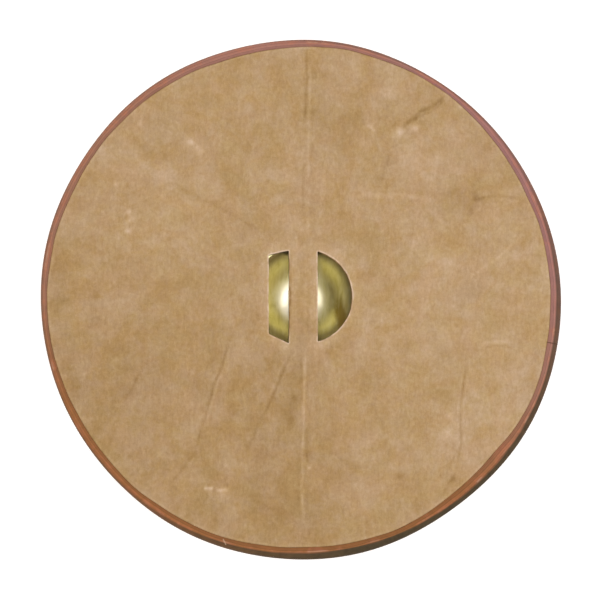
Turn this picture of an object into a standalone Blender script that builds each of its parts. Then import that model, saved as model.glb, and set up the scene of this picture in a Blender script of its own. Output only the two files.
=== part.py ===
# Round wooden shield, lying on its brass boss with the grip side up.
# Z runs up along the shield's axis, Y points to the upper end of the grip,
# and the origin is the middle of the small flat spot under the boss.

import math

import bmesh
import bpy
from mathutils import Matrix

# Clearance between pieces that touch, and how far a cutter runs past a face.
GAP = 0.0003
CUT_MARGIN = 0.002

# Shield as a whole, measured over the leather binding.
SHIELD_RADIUS = 0.380

# Wooden board: five planks glued edge to edge, grain along the grip.
BOARD_THICKNESS = 0.012
BOARD_EDGE_ROUND = 0.003
PLANK_WIDTH = 0.160
PLANK_JOINT_DEPTH = 0.0012

# Suede glued over the back.
SUEDE_THICKNESS = 0.0016

# Leather strip wrapped round the edge; the lip is how wide it shows on each face.
BINDING_THICKNESS = 0.002
BINDING_LIP = 0.0135

# Grip bar, left standing between the two openings.
GRIP_WIDTH = 0.0409
GRIP_OFFSET = -0.0014

# Straight-sided opening left of the grip, with slanted ends.
SLOT_WIDTH = 0.0296
SLOT_TOP = 0.0669
SLOT_BOTTOM = 0.0692
SLOT_TOP_SLANT = 0.0071
SLOT_BOTTOM_SLANT = 0.0144
SLOT_CORNER = 0.002

# Half-round opening right of the grip: an arc closed by the grip's straight side.
ARC_RADIUS = 0.0678
ARC_CENTRE_X = 0.0020
ARC_CENTRE_Y = -0.0004

# Hollow sheet-brass boss over the hand, on the front.
BOSS_SHEET = 0.0015
BOSS_INNER_RADIUS = 0.075
BOSS_HEIGHT = 0.060
BOSS_FLAT_RADIUS = 0.012
BOSS_FILLET = 0.003
FLANGE_WIDTH = 0.0225

# Dome-headed nails that hold the boss's flange.
NAIL_COUNT = 8
NAIL_HEAD_RADIUS = 0.0045
NAIL_HEAD_HEIGHT = 0.0022
NAIL_SHANK_RADIUS = 0.0015
NAIL_POINT_LENGTH = 0.003
NAIL_COVER = 0.0035

# Facets of the round pieces.
RIM_SEGMENTS = 96
BOSS_SEGMENTS = 48
NAIL_SEGMENTS = 12
EDGE_STEPS = 2
BINDING_STEPS = 3
FILLET_STEPS = 2
DOME_STEPS = 9
HEAD_STEPS = 3
CORNER_STEPS = 2
ARC_STEPS = 22

# Heights of the faces, from the floor up.
FLANGE_FRONT = BOSS_HEIGHT
FLANGE_BACK = FLANGE_FRONT + BOSS_SHEET
BOARD_FRONT = FLANGE_BACK + GAP
BOARD_BACK = BOARD_FRONT + BOARD_THICKNESS
SUEDE_FRONT = BOARD_BACK + GAP
SUEDE_BACK = SUEDE_FRONT + SUEDE_THICKNESS

# Radii and sides that follow from the sizes above.
BOARD_RADIUS = SHIELD_RADIUS - BINDING_THICKNESS - GAP
LIP_RADIUS = SHIELD_RADIUS - BINDING_LIP
SUEDE_RADIUS = LIP_RADIUS - GAP
GRIP_LEFT = GRIP_OFFSET - GRIP_WIDTH / 2
GRIP_RIGHT = GRIP_OFFSET + GRIP_WIDTH / 2
SLOT_LEFT = GRIP_LEFT - SLOT_WIDTH
BOSS_RADIUS = BOSS_INNER_RADIUS + BOSS_SHEET
FLANGE_RADIUS = BOSS_RADIUS + FLANGE_WIDTH
NAIL_CIRCLE = BOSS_RADIUS + (BOSS_FILLET + FLANGE_WIDTH) / 2
NAIL_SEAT = FLANGE_FRONT - GAP
NAIL_LENGTH = BOARD_BACK - NAIL_COVER - NAIL_SEAT


# Scene and naming helpers

def clear_scene():
    for old in list(bpy.data.objects):
        bpy.data.objects.remove(old, do_unlink=True)


def new_collection(name):
    collection = bpy.data.collections.new(name)
    bpy.context.scene.collection.children.link(collection)
    return collection


def new_material(name, colour, roughness, metallic=0.0):
    material = bpy.data.materials.new(name)
    material.use_nodes = True
    shader = material.node_tree.nodes["Principled BSDF"]
    shader.inputs["Base Color"].default_value = (*colour, 1.0)
    shader.inputs["Roughness"].default_value = roughness
    shader.inputs["Metallic"].default_value = metallic
    return material


def object_from(shape, name, collection):
    # Turns a bmesh into an object and frees it.
    mesh = bpy.data.meshes.new(name)
    shape.to_mesh(mesh)
    shape.free()
    obj = bpy.data.objects.new(name, mesh)
    collection.objects.link(obj)
    return obj


def smooth_round(mesh):
    mesh.shade_smooth()
    mesh.set_sharp_from_angle(angle=math.radians(35))


# Shape helpers

def arc(centre_x, centre_y, radius, start, end, steps):
    # Points along an arc in a plane, with its angles in radians.
    points = []
    for step in range(steps + 1):
        angle = start + (end - start) * step / steps
        points.append((centre_x + radius * math.cos(angle), centre_y + radius * math.sin(angle)))
    return points


def rounded_outline(corners, radius, steps):
    # A convex outline, given anticlockwise, with each corner turned into a short arc.
    points = []
    for index, corner in enumerate(corners):
        before = corners[index - 1]
        after = corners[(index + 1) % len(corners)]
        into = math.atan2(corner[1] - before[1], corner[0] - before[0])
        out = math.atan2(after[1] - corner[1], after[0] - corner[0])
        half_turn = ((out - into) % math.tau) / 2
        inward = into + half_turn + math.pi / 2
        reach = radius / math.cos(half_turn)
        centre_x = corner[0] + reach * math.cos(inward)
        centre_y = corner[1] + reach * math.sin(inward)
        start = into - math.pi / 2
        points += arc(centre_x, centre_y, radius, start, start + 2 * half_turn, steps)
    return points


def turned(name, profile, closed, segments, collection):
    # A profile of (radius, height) points, turned about the Z axis.
    points = [(radius, 0.0, height) for radius, height in profile]
    edges = [(index, index + 1) for index in range(len(points) - 1)]
    if closed:
        edges.append((len(points) - 1, 0))
    mesh = bpy.data.meshes.new(name)
    mesh.from_pydata(points, edges, [])
    obj = bpy.data.objects.new(name, mesh)
    collection.objects.link(obj)
    screw = obj.modifiers.new("Turn", "SCREW")
    screw.axis = "Z"
    screw.steps = segments
    screw.render_steps = segments
    screw.use_merge_vertices = True
    screw.merge_threshold = 0.0001
    screw.use_smooth_shade = True
    return obj


def disc(name, radius, bottom, top, collection):
    shape = bmesh.new()
    bmesh.ops.create_cone(
        shape, cap_ends=True, segments=RIM_SEGMENTS, radius1=radius, radius2=radius, depth=top - bottom
    )
    obj = object_from(shape, name, collection)
    obj.location.z = (bottom + top) / 2
    smooth_round(obj.data)
    return obj


def flat_outline(name, points, bottom, top, collection):
    # A filled outline in the XY plane, from one height to another.
    curve = bpy.data.curves.new(name, "CURVE")
    curve.dimensions = "2D"
    curve.fill_mode = "BOTH"
    curve.extrude = (top - bottom) / 2
    spline = curve.splines.new("POLY")
    spline.points.add(len(points) - 1)
    for spline_point, (x, y) in zip(spline.points, points):
        spline_point.co = (x, y, 0.0, 1.0)
    spline.use_cyclic_u = True
    guide = bpy.data.objects.new(name + "_outline", curve)
    guide.location.z = (bottom + top) / 2
    collection.objects.link(guide)
    graph = bpy.context.evaluated_depsgraph_get()
    mesh = bpy.data.meshes.new_from_object(guide.evaluated_get(graph))
    shape = bmesh.new()
    shape.from_mesh(mesh)
    bmesh.ops.remove_doubles(shape, verts=shape.verts, dist=0.00001)
    bmesh.ops.recalc_face_normals(shape, faces=shape.faces)
    bpy.data.meshes.remove(mesh)
    obj = object_from(shape, name, collection)
    obj.matrix_world = guide.matrix_world
    bpy.data.objects.remove(guide, do_unlink=True)
    return obj


# Cutters

def hide_cutter(obj):
    obj.display_type = "WIRE"
    obj.hide_render = True
    return obj


def cut(obj, cutter):
    boolean = obj.modifiers.new("Cut with " + cutter.name, "BOOLEAN")
    boolean.operation = "DIFFERENCE"
    boolean.solver = "EXACT"
    boolean.object = cutter


def make_left_opening(cutters):
    corners = [
        (SLOT_LEFT, SLOT_BOTTOM_SLANT - SLOT_BOTTOM),
        (GRIP_LEFT, -SLOT_BOTTOM),
        (GRIP_LEFT, SLOT_TOP),
        (SLOT_LEFT, SLOT_TOP - SLOT_TOP_SLANT),
    ]
    points = rounded_outline(corners, SLOT_CORNER, CORNER_STEPS)
    bottom = BOARD_FRONT - CUT_MARGIN
    top = SUEDE_BACK + CUT_MARGIN
    return hide_cutter(flat_outline("left_opening", points, bottom, top, cutters))


def make_right_opening(cutters):
    # The arc ends where it meets the side of the grip.
    half_angle = math.acos((GRIP_RIGHT - ARC_CENTRE_X) / ARC_RADIUS)
    points = arc(ARC_CENTRE_X, ARC_CENTRE_Y, ARC_RADIUS, -half_angle, half_angle, ARC_STEPS)
    bottom = BOARD_FRONT - CUT_MARGIN
    top = SUEDE_BACK + CUT_MARGIN
    return hide_cutter(flat_outline("right_opening", points, bottom, top, cutters))


def make_plank_joints(cutters):
    # Square bars on edge, half sunk in the board's front, leave V-shaped grooves.
    side = PLANK_JOINT_DEPTH * math.sqrt(2)
    on_edge = Matrix.Rotation(math.radians(45), 4, "Y")
    joints = round(BOARD_RADIUS / PLANK_WIDTH)
    shape = bmesh.new()
    for joint in range(-joints, joints):
        place = Matrix.Translation(((joint + 0.5) * PLANK_WIDTH, 0, BOARD_FRONT))
        size = Matrix.Diagonal((side, 2 * SHIELD_RADIUS, side, 1))
        bmesh.ops.create_cube(shape, size=1, matrix=place @ on_edge @ size)
    return hide_cutter(object_from(shape, "plank_joints", cutters))


def nail_places():
    for index in range(NAIL_COUNT):
        angle = math.tau * (index + 0.5) / NAIL_COUNT
        yield NAIL_CIRCLE * math.cos(angle), NAIL_CIRCLE * math.sin(angle)


def make_nail_holes(cutters):
    # Holes through the flange and into the board, with room round each shank.
    bottom = FLANGE_FRONT - CUT_MARGIN
    top = NAIL_SEAT + NAIL_LENGTH + GAP
    radius = NAIL_SHANK_RADIUS + GAP
    shape = bmesh.new()
    for x, y in nail_places():
        bmesh.ops.create_cone(
            shape,
            cap_ends=True,
            segments=NAIL_SEGMENTS,
            radius1=radius,
            radius2=radius,
            depth=top - bottom,
            matrix=Matrix.Translation((x, y, (bottom + top) / 2)),
        )
    return hide_cutter(object_from(shape, "nail_holes", cutters))


# Pieces

def make_board(shield, openings, plank_joints, nail_holes):
    board = disc("wooden_board", BOARD_RADIUS, BOARD_FRONT, BOARD_BACK, shield)
    edge = board.modifiers.new("Rounded edge", "BEVEL")
    edge.width = BOARD_EDGE_ROUND
    edge.segments = EDGE_STEPS
    edge.limit_method = "ANGLE"
    edge.angle_limit = math.radians(60)
    for opening in openings:
        cut(board, opening)
    cut(board, plank_joints)
    cut(board, nail_holes)
    board.data.materials.append(new_material("wood", (0.46, 0.30, 0.16), 0.6))


def make_suede(shield, openings):
    suede = disc("suede_back_facing", SUEDE_RADIUS, SUEDE_FRONT, SUEDE_BACK, shield)
    for opening in openings:
        cut(suede, opening)
    suede.data.materials.append(new_material("suede", (0.48, 0.31, 0.16), 0.95))


def make_binding(shield):
    # A U-shaped section round the board's edge, with rounded corners outside and in.
    inner_round = BOARD_EDGE_ROUND + GAP
    outer_round = inner_round + BINDING_THICKNESS
    corner_radius = BOARD_RADIUS - BOARD_EDGE_ROUND
    upper = BOARD_BACK - BOARD_EDGE_ROUND
    lower = BOARD_FRONT + BOARD_EDGE_ROUND
    quarter = math.pi / 2
    profile = [(LIP_RADIUS, upper + outer_round)]
    profile += arc(corner_radius, upper, outer_round, quarter, 0, BINDING_STEPS)
    profile += arc(corner_radius, lower, outer_round, 0, -quarter, BINDING_STEPS)
    profile += [(LIP_RADIUS, lower - outer_round), (LIP_RADIUS, lower - inner_round)]
    profile += arc(corner_radius, lower, inner_round, -quarter, 0, EDGE_STEPS)
    profile += arc(corner_radius, upper, inner_round, 0, quarter, EDGE_STEPS)
    profile += [(LIP_RADIUS, upper + inner_round)]
    binding = turned("leather_edge_binding", profile, True, RIM_SEGMENTS, shield)
    binding.data.materials.append(new_material("leather", (0.36, 0.14, 0.08), 0.55))


def boss_profile():
    # Outer side of the sheet: along the flange, round the fillet, down the dome to its flat.
    # The dome is part of a sphere through the edge of the flat and the foot of the dome.
    span = BOSS_RADIUS ** 2 - BOSS_FLAT_RADIUS ** 2 + BOSS_HEIGHT ** 2
    flat_depth = span / (2 * BOSS_HEIGHT)
    sphere_radius = math.hypot(flat_depth, BOSS_FLAT_RADIUS)
    sphere_height = flat_depth
    # The fillet's circle touches the flange from below and the sphere from outside.
    fillet_height = FLANGE_FRONT - BOSS_FILLET
    reach = sphere_radius + BOSS_FILLET
    fillet_x = math.sqrt(reach ** 2 - (sphere_height - fillet_height) ** 2)
    foot = math.atan2(fillet_height - sphere_height, fillet_x)
    flat = math.atan2(-flat_depth, BOSS_FLAT_RADIUS)
    profile = [(FLANGE_RADIUS, FLANGE_FRONT)]
    profile += arc(fillet_x, fillet_height, BOSS_FILLET, math.pi / 2, foot + math.pi, FILLET_STEPS)
    profile += arc(0, sphere_height, sphere_radius, foot, flat, DOME_STEPS)[1:]
    profile += [(0, 0)]
    return profile


def make_boss(shield, nail_holes):
    boss = turned("brass_boss", boss_profile(), False, BOSS_SEGMENTS, shield)
    sheet = boss.modifiers.new("Sheet", "SOLIDIFY")
    sheet.thickness = BOSS_SHEET
    sheet.offset = -1
    sheet.use_even_offset = True
    cut(boss, nail_holes)
    boss.data.materials.append(new_material("brass", (0.62, 0.45, 0.17), 0.3, 1.0))


def nail_profile():
    # From the point down the shank, then round the head; the head's flat side is at zero.
    cap_radius = (NAIL_HEAD_RADIUS ** 2 + NAIL_HEAD_HEIGHT ** 2) / (2 * NAIL_HEAD_HEIGHT)
    cap_height = cap_radius - NAIL_HEAD_HEIGHT
    rim = math.atan2(-cap_height, NAIL_HEAD_RADIUS)
    profile = [(0, NAIL_LENGTH), (NAIL_SHANK_RADIUS, NAIL_LENGTH - NAIL_POINT_LENGTH)]
    profile += [(NAIL_SHANK_RADIUS, 0)]
    profile += arc(0, cap_height, cap_radius, rim, -math.pi / 2, HEAD_STEPS)
    return profile


def make_nails(shield):
    brass = new_material("nail_brass", (0.60, 0.43, 0.16), 0.35, 1.0)
    profile = nail_profile()
    for index, (x, y) in enumerate(nail_places()):
        nail = turned("boss_nail_%d" % (index + 1), profile, False, NAIL_SEGMENTS, shield)
        nail.location = (x, y, NAIL_SEAT)
        nail.data.materials.append(brass)


def main():
    clear_scene()
    shield = new_collection("round_shield")
    cutters = new_collection("cutters")
    openings = [make_left_opening(cutters), make_right_opening(cutters)]
    plank_joints = make_plank_joints(cutters)
    nail_holes = make_nail_holes(cutters)
    make_board(shield, openings, plank_joints, nail_holes)
    make_suede(shield, openings)
    make_binding(shield)
    make_boss(shield, nail_holes)
    make_nails(shield)


main()
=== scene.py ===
import math

import bmesh
import bpy
import numpy as np
from mathutils import Matrix, Vector, noise


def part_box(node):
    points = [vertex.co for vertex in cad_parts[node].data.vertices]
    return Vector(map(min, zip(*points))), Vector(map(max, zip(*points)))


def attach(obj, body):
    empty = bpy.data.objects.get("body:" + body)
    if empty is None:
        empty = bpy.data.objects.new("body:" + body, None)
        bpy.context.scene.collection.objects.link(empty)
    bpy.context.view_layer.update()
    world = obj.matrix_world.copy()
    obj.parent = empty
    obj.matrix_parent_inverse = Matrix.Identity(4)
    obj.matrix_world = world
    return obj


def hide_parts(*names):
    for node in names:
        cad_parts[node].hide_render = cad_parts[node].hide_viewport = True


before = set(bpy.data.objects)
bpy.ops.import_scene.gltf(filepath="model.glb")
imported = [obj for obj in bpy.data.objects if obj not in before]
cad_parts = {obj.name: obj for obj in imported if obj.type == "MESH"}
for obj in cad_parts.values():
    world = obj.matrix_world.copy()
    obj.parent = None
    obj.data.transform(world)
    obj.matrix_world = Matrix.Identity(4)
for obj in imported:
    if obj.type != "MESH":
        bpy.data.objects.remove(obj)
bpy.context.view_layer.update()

# In the dictionaries lengths are millimetres from the shield's axis, angles are degrees and
# colours are 0 to 255 on screen.
mm = 0.001

boardLow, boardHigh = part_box("wooden_board")
suedeLow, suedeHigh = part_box("suede_back_facing")
bindingLow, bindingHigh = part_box("leather_edge_binding")
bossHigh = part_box("brass_boss")[1]

boardRadius = boardHigh.x / mm
bindingRadius = bindingHigh.x / mm
flangeRadius = bossHigh.x / mm


# Photo's view

view = {
    "lens": 100,
    "sensor": 36,
    "acrossFrame": 873.0,    # width of the shield's back plane that fills the frame
    "tilt": 6.5,    # camera's lean away from straight above
    "towards": -130.5,    # where it leans to, from +X
    "aim": (-5.8, -5.7),
}


def makeCamera():
    data = bpy.data.cameras.new("photoCamera")
    data.lens = view["lens"]
    data.sensor_width = view["sensor"]
    camera = bpy.data.objects.new("photoCamera", data)
    bpy.context.scene.collection.objects.link(camera)
    distance = view["acrossFrame"] * mm * view["lens"] / view["sensor"]
    tilt = math.radians(view["tilt"])
    towards = math.radians(view["towards"])
    aside = math.sin(tilt)
    back = Vector((aside * math.cos(towards), aside * math.sin(towards), math.cos(tilt)))
    right = Vector((0, 1, 0)).cross(back).normalized()
    up = back.cross(right)
    target = Vector((view["aim"][0] * mm, view["aim"][1] * mm, suedeHigh.z))
    place = Matrix((right, up, back)).transposed().to_4x4()
    place.translation = target + back * distance
    camera.matrix_world = place
    bpy.context.scene.camera = camera


# Shader helpers

def paint(red, green, blue):
    # A colour picked on screen, as the shader's own linear numbers.
    linear = []
    for part in (red, green, blue):
        part /= 255
        linear.append(part / 12.92 if part <= 0.04045 else ((part + 0.055) / 1.055) ** 2.4)
    return (*linear, 1.0)


class Wire:
    # One shader output; arithmetic on it adds Math nodes.
    def __init__(self, finish, socket):
        self.finish = finish
        self.socket = socket

    def math(self, operation, *others):
        values = dict(enumerate((self, *others)))
        return self.finish.node("Math", {"operation": operation}, values)

    def __add__(self, other):
        return self.math("ADD", other)

    def __sub__(self, other):
        return self.math("SUBTRACT", other)

    def __mul__(self, other):
        return self.math("MULTIPLY", other)

    def __truediv__(self, other):
        return self.math("DIVIDE", other)

    def step(self, low, high, fromValue=0.0, toValue=1.0):
        # Smooth change from one value to the other between low and high.
        values = {0: self, 1: low, 2: high, 3: fromValue, 4: toValue}
        return self.finish.node("MapRange", {"interpolation_type": "SMOOTHSTEP"}, values)


class Finish:
    # A material that is put together node by node.
    def __init__(self, name):
        self.material = bpy.data.materials.new(name)
        self.material.use_nodes = True
        self.tree = self.material.node_tree
        self.tree.nodes.clear()

    def node(self, kind, settings=None, values=None, out=0):
        made = self.tree.nodes.new("ShaderNode" + kind)
        for name, setting in (settings or {}).items():
            if name == "stops":
                self.fillRamp(made.color_ramp, setting)
            else:
                setattr(made, name, setting)
        for key, value in (values or {}).items():
            if isinstance(value, Wire):
                self.tree.links.new(value.socket, made.inputs[key])
            else:
                made.inputs[key].default_value = value
        return Wire(self, made.outputs[out]) if len(made.outputs) else None

    def fillRamp(self, ramp, stops):
        while len(ramp.elements) > 1:
            ramp.elements.remove(ramp.elements[-1])
        start, colour = stops[0]
        ramp.elements[0].position, ramp.elements[0].color = start, paint(*colour)
        for position, colour in stops[1:]:
            ramp.elements.new(position).color = paint(*colour)

    def place(self):
        return self.node("TexCoord", out="Object")

    def axes(self, vector):
        return [self.node("SeparateXYZ", {}, {0: vector}, out=index) for index in range(3)]

    def attribute(self, name):
        return self.node("Attribute", {"attribute_name": name}, out="Fac")

    def noise(self, place, scale, detail=2.0, roughness=0.5, distortion=0.0):
        # Noise centred on zero, about -1 to 1. A scale of three numbers stretches it.
        if isinstance(scale, tuple):
            place, scale = self.node("Mapping", {}, {"Vector": place, "Scale": scale}), 1.0
        values = {"Vector": place, "Scale": scale, "Detail": detail, "Roughness": roughness}
        values["Distortion"] = distortion
        return (self.node("TexNoise", {}, values) - 0.5) * 2.0

    def noises(self, place, settings):
        # A noise for each name, from its scale, detail, roughness and distortion.
        return {name: self.noise(place, *numbers) for name, numbers in settings.items()}

    def weigh(self, wires, weights):
        # The named wires, each times its weight, added up.
        total = None
        for name, weight in weights.items():
            part = wires[name] * weight
            total = total + part if total else part
        return total

    def ramp(self, value, stops):
        return self.node("ValToRGB", {"stops": stops}, {0: value})

    def mix(self, factor, first, second, blend="MIX"):
        values = {0: factor}
        for key, side in ((6, first), (7, second)):
            values[key] = side if isinstance(side, Wire) else paint(*side)
        settings = {"data_type": "RGBA", "blend_type": blend, "clamp_factor": True}
        return self.node("Mix", settings, values, out=2)

    def bump(self, height, distance):
        return self.node("Bump", {}, {"Strength": 1.0, "Distance": distance * mm, "Height": height})

    def close(self, values):
        surface = self.node("BsdfPrincipled", {}, values)
        self.node("OutputMaterial", {}, {"Surface": surface})
        return self.material


# Mesh helpers

def objectFrom(shape, name, sharpFrom=40):
    # Edges that turn by more than this angle stay sharp.
    mesh = bpy.data.meshes.new(name)
    shape.to_mesh(mesh)
    shape.free()
    mesh.shade_smooth()
    mesh.set_sharp_from_angle(angle=math.radians(sharpFrom))
    piece = bpy.data.objects.new(name, mesh)
    bpy.context.scene.collection.objects.link(piece)
    return piece


def only(items, kind):
    return [item for item in items if isinstance(item, kind)]


def readPoints(mesh):
    flat = np.empty(len(mesh.vertices) * 3)
    mesh.vertices.foreach_get("co", flat)
    return flat.reshape(-1, 3)


def writePoints(mesh, points):
    mesh.vertices.foreach_set("co", points.ravel())
    mesh.update()


def writeValue(mesh, name, values):
    mesh.attributes.new(name, "FLOAT", "POINT").data.foreach_set("value", values)


def turnProfile(profile, steps, closed):
    # Spins (radius, height) points, in millimetres, once round the shield's axis.
    shape = bmesh.new()
    row = [shape.verts.new((radius * mm, 0, height * mm)) for radius, height in profile]
    edges = [shape.edges.new(pair) for pair in zip(row, row[1:])]
    if closed:
        edges.append(shape.edges.new((row[-1], row[0])))
    bmesh.ops.spin(
        shape, geom=row + edges, cent=(0, 0, 0), axis=(0, 0, 1), dvec=(0, 0, 0),
        angle=math.tau, steps=steps, use_merge=True, use_duplicate=False,
    )
    bmesh.ops.remove_doubles(shape, verts=shape.verts, dist=0.01 * mm)
    bmesh.ops.recalc_face_normals(shape, faces=shape.faces)
    return shape


def arcPoints(x, y, radius, start, end, steps):
    points = []
    for step in range(steps + 1):
        angle = math.radians(start + (end - start) * step / steps)
        points.append((x + radius * math.cos(angle), y + radius * math.sin(angle)))
    return points


def waves(angle, terms):
    # Sum of (waves a turn, size, phase) terms at an angle in radians.
    return sum(size * np.cos(count * angle - math.radians(phase)) for count, size, phase in terms)


def softNoise(points, scale, seed):
    # Smooth noise at every point, with scale in millimetres.
    shift = Vector((seed * 17.3, seed * 5.1, seed * 9.7))
    size = 1 / (scale * mm)
    return np.array([noise.noise(Vector(point) * size + shift) for point in points])


# Openings beside the grip, and the line where the suede was trimmed

opening = {
    "gripLeft": -21.85, "gripRight": 20.0,
    "slotLeft": -51.45, "slotTop": 66.9, "slotBottom": -69.2,
    "topSlant": 7.1, "bottomSlant": 14.4,
    "arcRadius": 68.2, "arcX": 2.8, "arcY": 0.1, "arcSteps": 60,
    "spacing": 1.2,
    "unsteady": 0.18,
    "sways": [(5, 1.0, 1.0), (11, 0.7, 0.0), (23, 0.5, 0.0)],    # waves a turn, size, shift
}

trim = {
    "radius": 366.2,
    "waves": [
        (1, 3.55, 139), (2, 1.7, 75), (3, 0.67, -120), (4, 1.32, -52), (5, 0.7, -52),
        (6, 0.44, -13), (7, 0.85, -151), (8, 0.31, 168), (9, 0.56, 115), (10, 0.46, 110),
    ],
    # The knife wandered a little more between the long waves.
    "shortWaves": [
        (13, 0.22, 40), (17, 0.24, -75), (22, 0.2, 10), (29, 0.2, 130), (41, 0.12, 60),
    ],
}


def trimRadius(angle):
    return trim["radius"] + waves(angle, trim["waves"]) + waves(angle, trim["shortWaves"])


def slotOutline():
    left, right = opening["slotLeft"], opening["gripLeft"]
    corners = [
        (left, opening["slotBottom"] + opening["bottomSlant"]),
        (right, opening["slotBottom"]),
        (right, opening["slotTop"]),
        (left, opening["slotTop"] - opening["topSlant"]),
    ]
    return softened(corners)


def halfRoundOutline():
    x, y, radius = opening["arcX"], opening["arcY"], opening["arcRadius"]
    reach = math.degrees(math.acos((opening["gripRight"] - x) / radius))
    return softened(arcPoints(x, y, radius, -reach, reach, opening["arcSteps"]))


def softened(outline):
    # Evenly spaced points along a closed outline, corners eased and the line a little unsteady.
    loop = np.array(outline + outline[:1])
    along = np.concatenate([[0], np.cumsum(np.hypot(*np.diff(loop, axis=0).T))])
    marks = np.linspace(0, along[-1], round(along[-1] / opening["spacing"]), endpoint=False)
    even = np.stack([np.interp(marks, along, loop[:, axis]) for axis in (0, 1)], 1)
    eased = (np.roll(even, 1, 0) + even + np.roll(even, -1, 0)) / 3
    turn = marks / along[-1] * math.tau
    sway = sum(size * np.sin(count * turn + shift) for count, size, shift in opening["sways"])
    return grown(eased, opening["unsteady"] * sway)


def grown(outline, distance):
    # The outline moved outwards along its own normals.
    run = np.roll(outline, -1, 0) - np.roll(outline, 1, 0)
    normal = np.stack([run[:, 1], -run[:, 0]], 1) / np.hypot(run[:, 0], run[:, 1])[:, None]
    return outline + normal * np.reshape(distance, (-1, 1))


def insideOutline(x, y, outline):
    inside = np.zeros(len(x), bool)
    for before, after in zip(outline, np.roll(outline, -1, 0)):
        if before[1] == after[1]:
            continue
        cross = (before[0] - after[0]) * (y - after[1]) / (before[1] - after[1]) + after[0]
        inside ^= ((after[1] > y) != (before[1] > y)) & (x < cross)
    return inside


def nearestOnOutline(x, y, outline):
    start, end = outline, np.roll(outline, -1, 0)
    run = end - start
    share = ((x - start[:, 0]) * run[:, 0] + (y - start[:, 1]) * run[:, 1]) / (run ** 2).sum(1)
    near = start + run * np.clip(share, 0, 1)[:, None]
    gap = np.hypot(near[:, 0] - x, near[:, 1] - y)
    best = gap.argmin()
    return gap[best], near[best, 0], near[best, 1]


def distanceToLine(x, y, points):
    # Least distance from many points to a run of straight stretches, and how far along it lies.
    lengths = [math.dist(a, b) for a, b in zip(points, points[1:])]
    total = sum(lengths)
    best = np.full(len(x), np.inf)
    along = np.zeros(len(x))
    done = 0.0
    for (startX, startY), (endX, endY), length in zip(points, points[1:], lengths):
        runX, runY = (endX - startX) / length, (endY - startY) / length
        reach = np.clip((x - startX) * runX + (y - startY) * runY, 0, length)
        gap = np.hypot(x - startX - reach * runX, y - startY - reach * runY)
        closer = gap < best
        best[closer] = gap[closer]
        along[closer] = (done + reach[closer]) / total
        done += length
    return best, along


# Suede facing

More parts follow.
